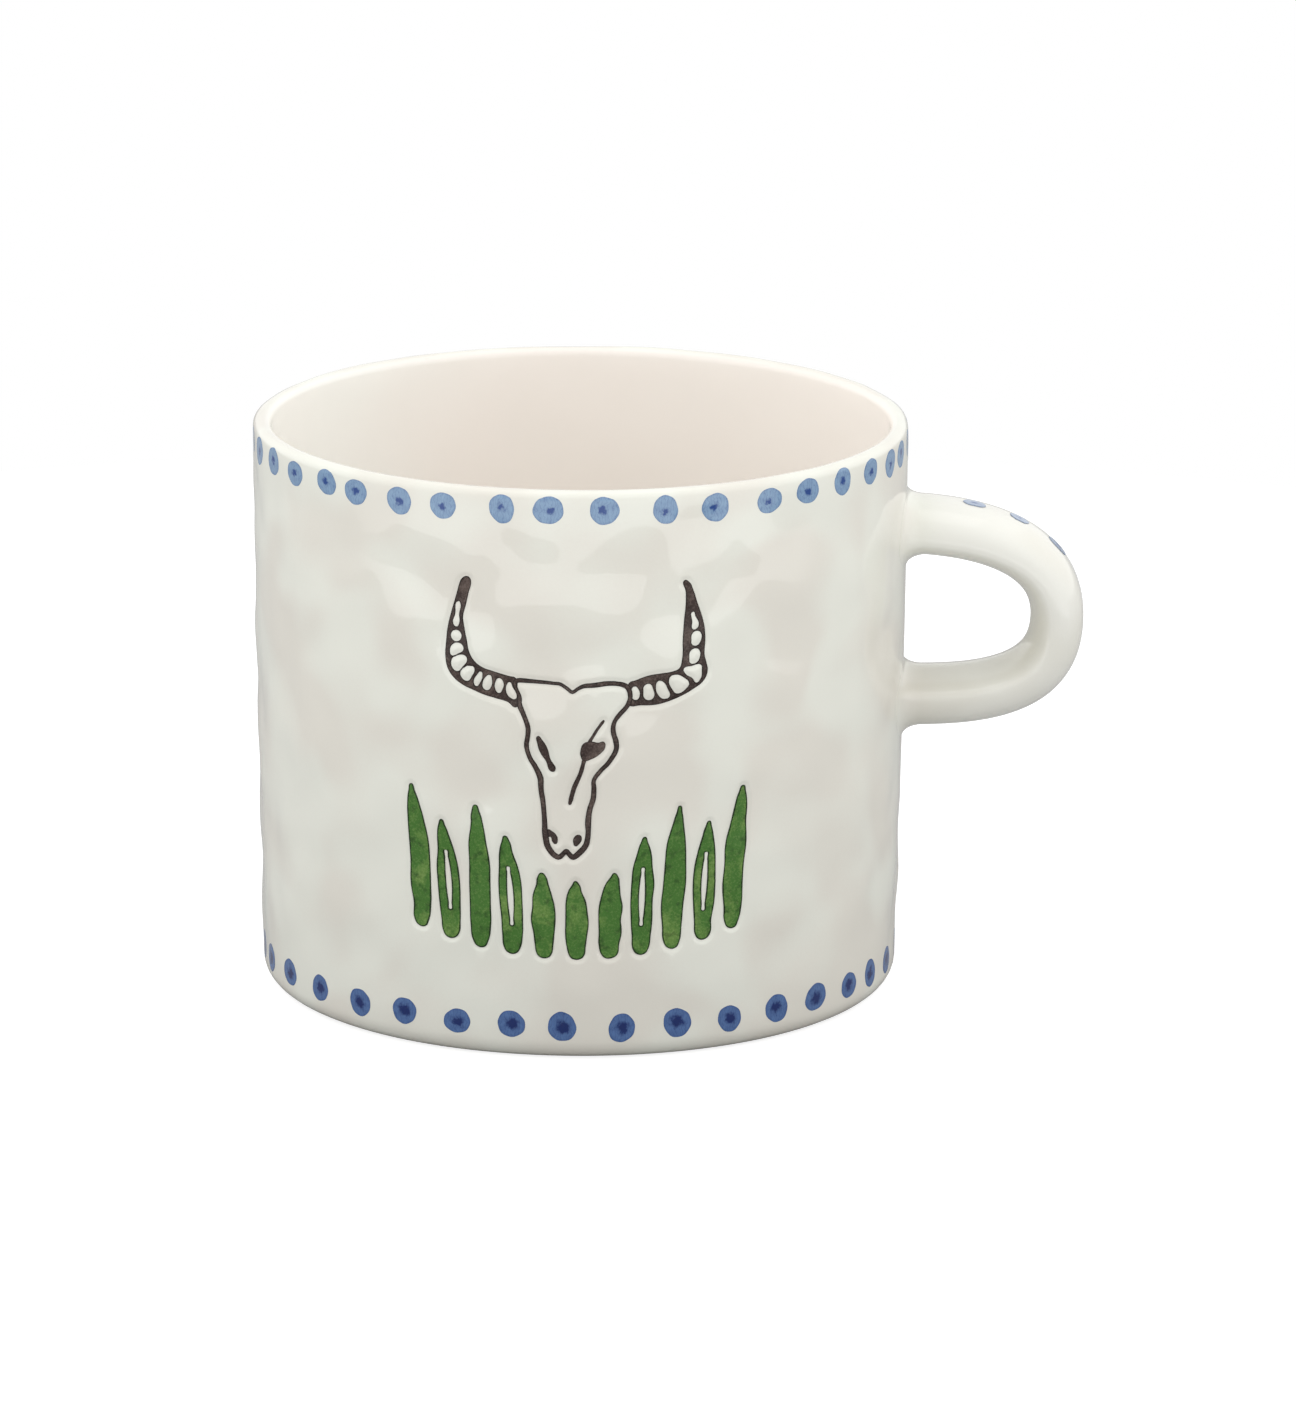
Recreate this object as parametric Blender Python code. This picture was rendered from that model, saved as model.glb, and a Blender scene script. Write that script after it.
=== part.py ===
"""A low ceramic mug. A turned cup and a looped strap handle are joined by beads of slip, and a
drawing on the front of the wall, a horned skull above a row of leaves, is inlaid as coloured
glaze in shallow pockets. Run it with blender --background --python part.py."""

import math

import bmesh
import bpy
from mathutils import Vector

MM = 0.001

# Cup: radii and heights are measured from its own axis and from the table.
CUP_HEIGHT = 83.5 * MM
RIM_RADIUS = 47.5 * MM
WALL_TAPER = 1.15 * MM  # how much narrower the wall is at the table than at the rim
WALL_THICKNESS = 4.0 * MM
LIP_THICKNESS = 2.6 * MM
FLOOR_HEIGHT = 5.8 * MM
INNER_CORNER = 6.0 * MM
OUTER_CORNER = 3.0 * MM
FOOT_RING_WIDTH = 3.2 * MM
FOOT_RECESS = 1.4 * MM
TURNED_STEPS = 72

# Handle: the middle of the strap runs on two Bezier arcs that meet at the bow.
HANDLE_REACH = 73.4 * MM  # from the cup's axis to the outermost face of the strap
UPPER_ROOT_HEIGHT = 67.9 * MM
BOW_HEIGHT = 54.2 * MM
LOWER_ROOT_HEIGHT = 42.3 * MM
ROOT_START = 44.0 * MM
STRAP_HALF_THICKNESS = 3.85 * MM
STRAP_HALF_WIDTH = 7.7 * MM
ROOT_SWELL = 0.4 * MM  # how much thicker and wider the strap is at its roots
SECTION_POWER = 2.5  # 2 is an ellipse; more is squarer
SECTION_POINTS = 20
STEPS_PER_ARC = 12

# Slip beads between the handle and the wall
SEAM_GAP = 0.3 * MM
BEAD_THICKNESS = 1.0 * MM
BEAD_SPREAD = 2.4 * MM

# Inlays: how deep they lie in the wall, and the room around them in their pockets
INLAY_TOP = 0.1 * MM
INLAY_BOTTOM = 0.6 * MM
POCKET_CLEARANCE = 0.3 * MM
LINE_WIDTH = 0.8 * MM

# Skull: its middle leans, from POLL_X at the top of the head
POLL_X = -0.5 * MM
POLL_HEIGHT = 54.3 * MM
SKULL_LEAN = 0.045

# Leaves: a row whose feet follow a shallow arc
LEAF_COUNT = 11
LEAF_PITCH = 4.6 * MM
LEAF_WIDTH = 3.4 * MM
LEAF_FOOT_HEIGHT = 15.2 * MM
LEAF_FOOT_RISE = 3.2 * MM  # how much higher the outermost leaves start
TALL_LEAF = 21.0 * MM
SHORT_LEAF = 17.5 * MM
MUZZLE_LEAF = 11.6 * MM  # the leaves under the muzzle
LEAF_FAN = 0.35 * MM  # how far each leaf's tip leans outwards, for each place from the middle

# The cup's axis stands to the left of the origin, which is the middle of the whole mug.
CUP_AXIS_X = (RIM_RADIUS - HANDLE_REACH) / 2


def clear_scene():
    for obj in list(bpy.data.objects):
        bpy.data.objects.remove(obj)


def glaze(name, colour, roughness):
    material = bpy.data.materials.new(name)
    material.use_nodes = True
    shader = material.node_tree.nodes["Principled BSDF"]
    shader.inputs["Base Color"].default_value = (*colour, 1)
    shader.inputs["Roughness"].default_value = roughness
    shader.inputs["Metallic"].default_value = 0
    return material


def add_piece(name, mesh, material, axis):
    """Put a mesh in the scene as a piece that hangs on the cup's axis."""
    piece = bpy.data.objects.new(name, mesh)
    bpy.context.scene.collection.objects.link(piece)
    piece.parent = axis
    mesh.materials.append(material)
    return piece


def mesh_from(bm, name, sharp_angle=40):
    """Close a bmesh into a smooth-shaded mesh whose faces point outwards."""
    bmesh.ops.recalc_face_normals(bm, faces=bm.faces)
    mesh = bpy.data.meshes.new(name)
    bm.to_mesh(mesh)
    bm.free()
    mesh.shade_smooth()
    mesh.set_sharp_from_angle(angle=math.radians(sharp_angle))
    return mesh


def wall_radius(height):
    """The outer radius of the wall, which is nearly upright at the rim and draws in below."""
    return RIM_RADIUS - WALL_TAPER * (1 - height / CUP_HEIGHT) ** 2


def on_wall(across, height, depth=0.0):
    """The point that lies so far around the front of the wall, depth below its surface."""
    radius = wall_radius(height)
    angle = across / radius
    return Vector(((radius - depth) * math.sin(angle), -(radius - depth) * math.cos(angle), height))


def arc(centre_radius, centre_height, radius, start, end, steps):
    """Points of a round stretch of the turned profile, with its angles in degrees."""
    points = []
    for step in range(steps + 1):
        angle = math.radians(start + (end - start) * step / steps)
        across = centre_radius + radius * math.cos(angle)
        points.append((across, centre_height + radius * math.sin(angle)))
    return points


def cup_profile():
    """Half of the cup's section, down its outside, under its foot and up its inside."""
    lip = LIP_THICKNESS / 2
    lip_centre = (RIM_RADIUS - lip, CUP_HEIGHT - lip)
    foot_radius = wall_radius(OUTER_CORNER)
    ring_inside = foot_radius - OUTER_CORNER - FOOT_RING_WIDTH
    inside_radius = foot_radius - WALL_THICKNESS

    profile = arc(*lip_centre, lip, 90, 0, 3)
    for share in (0.8, 0.6, 0.4, 0.2):
        height = OUTER_CORNER + (CUP_HEIGHT - OUTER_CORNER) * share
        profile.append((wall_radius(height), height))
    profile += arc(foot_radius - OUTER_CORNER, OUTER_CORNER, OUTER_CORNER, 0, -90, 4)
    profile.append((ring_inside, 0))
    profile.append((ring_inside - FOOT_RECESS / 2, FOOT_RECESS))
    profile.append((0, FOOT_RECESS))
    profile.append((0, FLOOR_HEIGHT))
    corner_height = FLOOR_HEIGHT + INNER_CORNER
    profile += arc(inside_radius - INNER_CORNER, corner_height, INNER_CORNER, -90, 0, 4)
    middle = (corner_height + CUP_HEIGHT) / 2
    profile.append((wall_radius(middle) - (WALL_THICKNESS + LIP_THICKNESS) / 2, middle))
    profile += arc(*lip_centre, lip, 180, 120, 2)
    return profile


def make_cup(material, axis, cutters):
    bm = bmesh.new()
    verts = [bm.verts.new((radius, 0, height)) for radius, height in cup_profile()]
    for first, second in zip(verts, verts[1:] + verts[:1]):
        if max(first.co.x, second.co.x) > 0:
            bm.edges.new((first, second))
    mesh = bpy.data.meshes.new("cup_body")
    bm.to_mesh(mesh)
    bm.free()
    cup = add_piece("cup_body", mesh, material, axis)

    turn = cup.modifiers.new("turn on the wheel", "SCREW")
    turn.axis = "Z"
    turn.angle = 2 * math.pi
    turn.steps = TURNED_STEPS
    turn.render_steps = TURNED_STEPS
    turn.use_merge_vertices = True
    turn.merge_threshold = 0.00001
    turn.use_smooth_shade = True

    engrave = cup.modifiers.new("engrave the pockets", "BOOLEAN")
    engrave.operation = "DIFFERENCE"
    engrave.operand_type = "COLLECTION"
    engrave.collection = cutters
    engrave.solver = "EXACT"


def bezier(points, share):
    rest = 1 - share
    weights = (rest**3, 3 * rest * rest * share, 3 * rest * share * share, share**3)
    return sum((point * weight for point, weight in zip(points, weights)), Vector((0, 0, 0)))


def handle_path():
    """The middle of the strap, from the upper root round the bow to the lower root."""
    bow_x = HANDLE_REACH - STRAP_HALF_THICKNESS
    upper = (
        Vector((ROOT_START, 0, UPPER_ROOT_HEIGHT)),
        Vector((bow_x - 7.6 * MM, 0, UPPER_ROOT_HEIGHT)),
        Vector((bow_x, 0, BOW_HEIGHT + 8.3 * MM)),
        Vector((bow_x, 0, BOW_HEIGHT)),
    )
    lower = (
        Vector((bow_x, 0, BOW_HEIGHT)),
        Vector((bow_x, 0, BOW_HEIGHT - 9.2 * MM)),
        Vector((bow_x - 7.1 * MM, 0, LOWER_ROOT_HEIGHT - 1.0 * MM)),
        Vector((ROOT_START, 0, LOWER_ROOT_HEIGHT)),
    )
    path = [bezier(upper, step / STEPS_PER_ARC) for step in range(STEPS_PER_ARC)]
    return path + [bezier(lower, step / STEPS_PER_ARC) for step in range(STEPS_PER_ARC + 1)]


def strap_section(grow):
    """(thickness, width) offsets round the strap: an ellipse with slightly squarer shoulders."""
    points = []
    for step in range(SECTION_POINTS):
        angle = 2 * math.pi * step / SECTION_POINTS
        cosine, sine = math.cos(angle), math.sin(angle)
        thick = math.copysign(abs(cosine) ** (2 / SECTION_POWER), cosine)
        wide = math.copysign(abs(sine) ** (2 / SECTION_POWER), sine)
        points.append(((STRAP_HALF_THICKNESS + grow) * thick, (STRAP_HALF_WIDTH + grow) * wide))
    return points


def skin(bm, rings):
    """Join rings of equal length with quads, and return their loops of vertices."""
    loops = [[bm.verts.new(point) for point in ring] for ring in rings]
    count = len(loops[0])
    for near, far in zip(loops, loops[1:]):
        for index in range(count):
            after = (index + 1) % count
            bm.faces.new((near[index], near[after], far[after], far[index]))
    return loops


def loft(bm, rings):
    """A solid through rings of equal length, with flat ends."""
    loops = skin(bm, rings)
    bm.faces.new(loops[0][::-1])
    bm.faces.new(loops[-1])


def close_in_strips(bm, loop):
    """Fill a strap section with upright strips, so that the fill can follow the round wall."""
    half = len(loop) // 2
    for index in range(-half // 2, half // 2):
        corners = (loop[index], loop[index + 1], loop[half - index - 1], loop[half - index])
        bm.faces.new(dict.fromkeys(corners))


def make_handle(material, axis, guides):
    path = handle_path()
    last = len(path) - 1
    rings = []
    for index, centre in enumerate(path):
        tangent = (path[min(index + 1, last)] - path[max(index - 1, 0)]).normalized()
        outward = Vector((-tangent.z, 0, tangent.x))
        swell = ROOT_SWELL * abs(2 * index / last - 1) ** 2
        section = strap_section(swell)
        rings.append([centre + outward * thick + Vector((0, wide, 0)) for thick, wide in section])
    bm = bmesh.new()
    loft(bm, rings)
    handle = add_piece("handle", mesh_from(bm, "handle"), material, axis)

    # A drum a little larger than the cup trims both roots to the curve of the wall.
    bm = bmesh.new()
    drum_radius = RIM_RADIUS + 2 * SEAM_GAP + BEAD_THICKNESS
    bmesh.ops.create_cone(
        bm, cap_ends=True, segments=4 * TURNED_STEPS, radius1=drum_radius, radius2=drum_radius,
        depth=2 * CUP_HEIGHT,
    )
    drum = add_piece("root_trimmer", mesh_from(bm, "root_trimmer"), material, axis)
    hide_helper(drum, guides)
    trim = handle.modifiers.new("trim the roots", "BOOLEAN")
    trim.operation = "DIFFERENCE"
    trim.object = drum
    trim.solver = "EXACT"


def hide_helper(obj, collection):
    """Move a cutter out of the model: it is drawn as wire and never rendered."""
    bpy.context.scene.collection.objects.unlink(obj)
    collection.objects.link(obj)
    obj.hide_render = True
    obj.display_type = "WIRE"


def make_handle_joint(name, root_height, material, axis):
    """A saddle of slip whose rim feathers out where it meets the wall."""
    rings = []
    for lift, spread in ((0.0, 1.0), (0.35, 0.45), (1.0, 0.1)):
        ring = []
        section = strap_section(ROOT_SWELL + BEAD_SPREAD * spread)
        for thick, wide in section:
            height = root_height + thick
            radius = wall_radius(height) + SEAM_GAP + BEAD_THICKNESS * lift
            angle = wide / radius
            ring.append((radius * math.cos(angle), radius * math.sin(angle), height))
        rings.append(ring)
    bm = bmesh.new()
    loops = skin(bm, rings)
    close_in_strips(bm, loops[0])
    close_in_strips(bm, loops[-1])
    add_piece(name, mesh_from(bm, name), material, axis)


def smooth_path(points, closed, steps):
    """Read a Catmull-Rom curve through (across, height, width) points."""
    count = len(points)
    spans = count if closed else count - 1
    path = []
    for span in range(spans):
        if closed:
            nearby = [Vector(points[(span + shift) % count]) for shift in (-1, 0, 1, 2)]
        else:
            nearby = [Vector(points[min(max(span + shift, 0), count - 1)]) for shift in (-1, 0, 1, 2)]
        before, start, end, after = nearby
        for step in range(steps):
            share = step / steps
            path.append(
                start
                + (end - before) * (share / 2)
                + (before * 2 - start * 5 + end * 4 - after) * (share**2 / 2)
                + (start * 3 - before - end * 3 + after) * (share**3 / 2)
            )
    if not closed:
        path.append(Vector(points[-1]))
    return path


def ribbon_mesh(name, path, closed, top, bottom, widen):
    """A band that follows the path round the wall, from depth top down to depth bottom."""
    count = len(path)
    rings = []
    for index, (across, height, width) in enumerate(path):
        before = path[(index - 1) % count if closed else max(index - 1, 0)]
        after = path[(index + 1) % count if closed else min(index + 1, count - 1)]
        along = (after - before).to_2d().normalized()
        if not closed and index in (0, count - 1):
            shift = along * (widen if index else -widen)
            across, height = across + shift.x, height + shift.y
        side = Vector((-along.y, along.x)) * (width / 2 + widen)
        left, right = Vector((across, height)) + side, Vector((across, height)) - side
        rings.append(
            [on_wall(*left, top), on_wall(*right, top), on_wall(*right, bottom), on_wall(*left, bottom)]
        )
    bm = bmesh.new()
    if closed:
        loops = [[bm.verts.new(point) for point in ring] for ring in rings]
        for near, far in zip(loops, loops[1:] + loops[:1]):
            for index in range(4):
                after = (index + 1) % 4
                bm.faces.new((near[index], near[after], far[after], far[index]))
    else:
        loft(bm, rings)
    return mesh_from(bm, name)


def make_inlay(name, points, material, axis, cutters, closed=False, steps=4):
    """A fill of coloured glaze, and the cutter of the slightly larger pocket that it lies in."""
    path = smooth_path(points, closed, steps)
    fill = ribbon_mesh(name, path, closed, INLAY_TOP, INLAY_BOTTOM, 0)
    add_piece(name, fill, material, axis)
    pocket_bottom = INLAY_BOTTOM + POCKET_CLEARANCE
    pocket = ribbon_mesh(name + "_pocket", path, closed, -RIM_RADIUS / 40, pocket_bottom, POCKET_CLEARANCE)
    hide_helper(add_piece(name + "_pocket", pocket, material, axis), cutters)


def skull_point(across, height, width=LINE_WIDTH / MM):
    """A point of the drawing, given in millimetres from the skull's leaning middle line."""
    middle = POLL_X - (POLL_HEIGHT - height * MM) * SKULL_LEAN
    return (middle + across * MM, height * MM, width * MM)


def make_skull(material, axis, cutters):
    right_side = [
        (1.3, 55.3), (4.2, 55.5), (7.2, 54.4), (7.7, 52.2), (6.7, 50.2), (6.5, 47.9), (5.8, 45.4),
        (4.5, 43.2), (3.7, 40.8), (3.3, 37.9), (3.1, 35.1), (3.5, 32.8), (2.6, 30.6), (1.0, 30.2),
    ]
    left_side = [(-across, height) for across, height in reversed(right_side)]
    outline = [(0, 54.2), *right_side, (0, 30.8), *left_side]
    ring = [skull_point(across, height) for across, height in outline]
    make_inlay("skull_outline", ring, material, axis, cutters, closed=True, steps=3)

    horn = [
        (9.3, 53.6, 2.6), (12.3, 54.1, 3.1), (15.4, 55.7, 3.1), (17.6, 58.8, 2.9), (18.0, 62.8, 2.4),
        (17.1, 67.0, 1.7), (15.9, 70.6, 0.9),
    ]
    eye = [(3.1, 48.5, 0.7), (3.7, 47.3, 1.7), (4.0, 46.0, 1.6), (3.7, 44.8, 0.7)]
    nostril = [(1.2, 34.4, 0.7), (1.9, 33.6, 1.0), (1.9, 32.4, 0.7)]
    for side, name in ((-1, "left"), (1, "right")):
        for part, shape in (("horn", horn), ("eye", eye), ("nostril", nostril)):
            points = [skull_point(side * across, height, width) for across, height, width in shape]
            make_inlay(f"{name}_{part}", points, material, axis, cutters)

    brow = [skull_point(*point) for point in ((4.6, 51.9), (3.7, 50.9), (3.3, 49.9))]
    make_inlay("brow_line", brow, material, axis, cutters)
    nose = [skull_point(*point) for point in ((1.6, 44.6), (0.6, 42.4), (0.2, 40.3), (-0.2, 38.2))]
    make_inlay("nose_line", nose, material, axis, cutters)


def make_leaf(index, material, axis, cutters):
    """One upright leaf: slender, blunt at its foot and pointed at its tip."""
    place = index - (LEAF_COUNT - 1) / 2
    outermost = (LEAF_COUNT - 1) / 2
    foot = LEAF_FOOT_HEIGHT + LEAF_FOOT_RISE * (place / outermost) ** 2
    length = TALL_LEAF if index % 2 == 0 else SHORT_LEAF
    if abs(place) <= 1:
        length = MUZZLE_LEAF + abs(place) * MM
    across = place * LEAF_PITCH
    lean = place * LEAF_FAN
    points = []
    for share, fullness in ((0, 0.35), (0.12, 0.72), (0.4, 1.0), (0.7, 0.85), (0.9, 0.5), (1, 0.2)):
        points.append((across + lean * share**2, foot + length * share, LEAF_WIDTH * fullness))
    make_inlay(f"leaf_{index + 1:02d}", points, material, axis, cutters, steps=2)


def main():
    clear_scene()
    white = glaze("white_glaze", (0.80, 0.79, 0.74), 0.12)
    slip = glaze("slip", (0.78, 0.77, 0.71), 0.15)
    brown = glaze("brown_glaze", (0.070, 0.050, 0.047), 0.25)
    green = glaze("green_glaze", (0.075, 0.200, 0.045), 0.22)

    axis = bpy.data.objects.new("cup_axis", None)
    axis.location.x = CUP_AXIS_X
    bpy.context.scene.collection.objects.link(axis)
    pockets = bpy.data.collections.new("pockets")
    guides = bpy.data.collections.new("guides")
    for helpers in (pockets, guides):
        bpy.context.scene.collection.children.link(helpers)

    make_cup(white, axis, pockets)
    make_handle(white, axis, guides)
    make_handle_joint("upper_handle_joint", UPPER_ROOT_HEIGHT, slip, axis)
    make_handle_joint("lower_handle_joint", LOWER_ROOT_HEIGHT, slip, axis)
    make_skull(brown, axis, pockets)
    for index in range(LEAF_COUNT):
        make_leaf(index, green, axis, pockets)


main()
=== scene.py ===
import math
import random

import bpy
from mathutils import Matrix, Vector, kdtree, noise


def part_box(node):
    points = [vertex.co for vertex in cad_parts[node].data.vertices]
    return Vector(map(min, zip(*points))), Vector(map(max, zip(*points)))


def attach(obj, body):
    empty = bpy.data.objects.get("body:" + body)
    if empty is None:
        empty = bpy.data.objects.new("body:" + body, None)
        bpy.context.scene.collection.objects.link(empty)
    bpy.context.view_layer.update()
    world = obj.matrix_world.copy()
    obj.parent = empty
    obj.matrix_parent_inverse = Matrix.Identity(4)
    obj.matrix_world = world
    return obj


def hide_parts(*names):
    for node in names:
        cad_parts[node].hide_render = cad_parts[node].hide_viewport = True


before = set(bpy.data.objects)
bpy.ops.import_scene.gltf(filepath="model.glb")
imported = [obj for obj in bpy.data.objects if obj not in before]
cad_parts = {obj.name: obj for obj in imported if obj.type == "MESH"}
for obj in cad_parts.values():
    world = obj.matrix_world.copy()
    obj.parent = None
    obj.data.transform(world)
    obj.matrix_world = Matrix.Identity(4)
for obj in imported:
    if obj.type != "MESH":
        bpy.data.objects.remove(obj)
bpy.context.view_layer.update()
mm = 0.001

cupLow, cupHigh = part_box("cup_body")
handleLow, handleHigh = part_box("handle")
axisX = (cupLow.x + cupHigh.x) / 2  # the cup stands left of the middle, to make room for its handle
rimRadius = (cupHigh.x - cupLow.x) / 2
cupHeight = cupHigh.z
print("frame loaded, rim radius", round(rimRadius / mm, 2), "mm, height", round(cupHeight / mm, 2), "mm")


def deselectAll():
    if bpy.context.mode != "OBJECT":
        bpy.ops.object.mode_set(mode="OBJECT")
    bpy.ops.object.select_all(action="DESELECT")


def pick(obj):
    deselectAll()
    obj.select_set(True)
    bpy.context.view_layer.objects.active = obj


def startEditing(obj, mode="VERT"):
    pick(obj)
    bpy.ops.object.mode_set(mode="EDIT")
    bpy.ops.mesh.select_mode(type=mode)
    bpy.ops.mesh.select_all(action="DESELECT")


def stopEditing():
    bpy.ops.object.mode_set(mode="OBJECT")


def selectAll():
    bpy.ops.mesh.select_all(action="SELECT")


def faceOutwards():
    selectAll()
    bpy.ops.mesh.normals_make_consistent(inside=False)


def selectFrom(items, test):
    # clears the selection, then leaves edit mode for a moment to mark what passes the test
    bpy.ops.mesh.select_all(action="DESELECT")
    bpy.ops.object.mode_set(mode="OBJECT")
    for item in items:
        item.select = test(item)
    bpy.ops.object.mode_set(mode="EDIT")


def addObject(name, data):
    obj = bpy.data.objects.new(name, data)
    bpy.context.scene.collection.objects.link(obj)
    return obj


def copyOf(obj):
    twin = obj.copy()
    twin.data = obj.data.copy()
    bpy.context.scene.collection.objects.link(twin)
    return twin


def joinAll(objects):
    pick(objects[0])
    for obj in objects:
        obj.select_set(True)
    bpy.ops.object.join()
    return bpy.context.object


def toMesh(obj):
    pick(obj)
    bpy.ops.object.convert(target="MESH")
    pick(bpy.context.object)
    return bpy.context.object


def applyAll(obj):
    pick(obj)
    for modifier in list(obj.modifiers):
        bpy.ops.object.modifier_apply(modifier=modifier.name)


def settle(obj, name, material, slotName, *nodes):
    # names the piece, gives it its finish and hangs it on the mug
    obj.name = name
    obj.data.name = name
    pick(obj)
    bpy.ops.object.transform_apply(location=True, rotation=True, scale=True)
    obj.data.materials.clear()
    obj.data.materials.append(material)
    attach(obj, "root")
    if nodes:
        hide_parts(*nodes)
    print("made", name, "with", len(obj.data.polygons), "faces")
    return obj


def ease(value, start, end):
    share = min(max((value - start) / (end - start), 0), 1)
    return share * share * (3 - 2 * share)


# the wall's shape, which every other piece follows
cup = {
    "taper": 1.15 * mm,  # how much narrower the wall is at the table than at the rim
    "wall": 4.0 * mm,
    "lip": 2.6 * mm,
    "floor": 5.8 * mm,
    "innerCorner": 6.0 * mm,
    "outerCorner": 3.0 * mm,
    "ringWidth": 3.2 * mm,
    "recess": 1.4 * mm,
    "ringLevel": 0.25 * mm,  # the glaze stops here, and bare clay stands below it
    "steps": 240,  # turns of the wheel
    "rowStep": 1.25 * mm,
}
dimples = {
    "size": 9 * mm,
    "depth": 0.95 * mm,
    "inside": 0.25,  # how much of them shows on the inside
    "lip": 0.35,
    "footFade": (1 * mm, 12 * mm),  # they grow from nothing to full over this much height
    "rimFade": (2 * mm, 9 * mm),
    "innerFootFade": (8 * mm, 20 * mm),
    "innerRimFade": (0, 4 * mm),
    "besideHandle": (9 * mm, 17 * mm),
    "pastHandle": (22 * mm, 30 * mm),
    "layers": (("hollows", 1.0, 1.0), ("ripples", 0.5, 0.2)),  # name, share of the size, share of the depth
}
groove = {
    "depth": 0.20 * mm,
    "shoulder": 0.65 * mm,
    "flat": 0.15 * mm,  # the groove is at its full depth this far beside the ink
    "inkDepth": 0.15 * mm,
    "inkThickness": 0.3 * mm,
    "dice": 1.2 * mm,
    "nearInk": 1.25 * mm,  # the wall's mesh is finer within this distance of the drawing
    "fineCuts": 5,
}


def wallRadius(height):
    return rimRadius - cup["taper"] * (1 - height / cupHeight) ** 2


def onWall(across, height, lift=0.0):
    radius = wallRadius(height)
    angle = across / radius
    out = radius + lift
    return Vector((axisX + out * math.sin(angle), -out * math.cos(angle), height))


def arcPoints(centreRadius, centreHeight, radius, start, end, steps):
    points = []
    for step in range(steps + 1):
        angle = math.radians(start + (end - start) * step / steps)
        points.append((centreRadius + radius * math.cos(angle), centreHeight + radius * math.sin(angle)))
    return points


def cupProfile():
    lip = cup["lip"] / 2
    corner = cup["outerCorner"]
    footRadius = wallRadius(corner)
    ringInside = footRadius - corner - cup["ringWidth"]
    inside = footRadius - cup["wall"]
    points = arcPoints(rimRadius - lip, cupHeight - lip, lip, 90, 0, 6)
    rows = round((cupHeight - lip - corner) / cup["rowStep"])
    for row in range(1, rows):
        height = cupHeight - lip - (cupHeight - lip - corner) * row / rows
        points.append((wallRadius(height), height))
    points += arcPoints(footRadius - corner, corner, corner, 0, -80, 7)
    points += [(footRadius - corner, cup["ringLevel"]), (ringInside, cup["ringLevel"])]
    points += arcPoints(ringInside - cup["recess"], 0, cup["recess"], 20, 90, 5)
    points += [(ringInside * share, cup["recess"]) for share in (0.75, 0.5, 0.25, 0)]
    points += [(ringInside * share, cup["floor"]) for share in (0, 0.1, 0.25, 0.4, 0.55, 0.7)]
    bend = cup["innerCorner"]
    points += arcPoints(inside - bend, cup["floor"] + bend, bend, -90, 0, 8)
    start = cup["floor"] + bend
    rows = round((cupHeight - lip - start) / (2 * cup["rowStep"]))
    for row in range(1, rows):
        share = row / rows
        height = start + (cupHeight - lip - start) * share
        thickness = cup["wall"] + (cup["lip"] - cup["wall"]) * share ** 1.5
        points.append((wallRadius(height) - thickness, height))
    points += arcPoints(rimRadius - lip, cupHeight - lip, lip, 180, 105, 5)
    return points


def turnCup():
    # one point is pulled along the profile and the profile is turned once round the axis
    profile = [Vector((axisX + radius, 0, height)) for radius, height in cupProfile()]
    bpy.ops.mesh.primitive_plane_add(size=mm, location=profile[0])
    wall = bpy.context.object
    pick(wall)
    bpy.ops.object.transform_apply(location=True)
    startEditing(wall)
    selectAll()
    bpy.ops.mesh.merge(type="CENTER")
    for near, far in zip(profile, profile[1:]):
        bpy.ops.mesh.extrude_region_move(TRANSFORM_OT_translate={"value": far - near})
    selectAll()
    bpy.ops.mesh.spin(
        steps=cup["steps"], angle=2 * math.pi, center=(axisX, 0, 0), axis=(0, 0, 1), use_auto_merge=True,
    )
    selectAll()
    bpy.ops.mesh.remove_doubles(threshold=0.02 * mm)
    bpy.ops.mesh.delete_loose(use_verts=True, use_edges=True, use_faces=False)
    # the lip's last open gap, between the inside and the outside, is closed
    bpy.ops.mesh.select_all(action="DESELECT")
    bpy.ops.mesh.select_mode(type="EDGE")
    bpy.ops.mesh.select_non_manifold(
        use_wire=False, use_multi_face=False, use_non_contiguous=False, use_verts=False)
    bpy.ops.mesh.bridge_edge_loops()
    faceOutwards()
    stopEditing()
    return wall


def pastWall(place):
    # how far a place lies outside the wall as it was turned
    return math.hypot(place.x - axisX, place.y) - wallRadius(place.z)


def isOuterWall(place):
    return pastWall(place) > -0.6 * mm and place.z > cup["outerCorner"] - 0.1 * mm


def refineNear(wall, guides):
    # the mesh is made finer beside the drawing, then put back on the round
    marks = [vertex.co for guide in guides for vertex in guide.data.vertices]
    tree = kdtree.KDTree(len(marks))
    for index, mark in enumerate(marks):
        tree.insert(mark, index)
    tree.balance()
    startEditing(wall, "FACE")
    selectFrom(wall.data.polygons, lambda face: isOuterWall(face.center)
                and tree.find(face.center)[2] < groove["nearInk"])
    bpy.ops.mesh.subdivide(number_cuts=groove["fineCuts"] - 1, ngon=False)
    stopEditing()
    for vertex in wall.data.vertices:
        place = vertex.co
        if place.y < 0 and cup["outerCorner"] < place.z < cupHeight - cup["lip"] and isOuterWall(place):
            scale = wallRadius(place.z) / math.hypot(place.x - axisX, place.y)
            vertex.co = (axisX + (place.x - axisX) * scale, place.y * scale, place.z)


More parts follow.
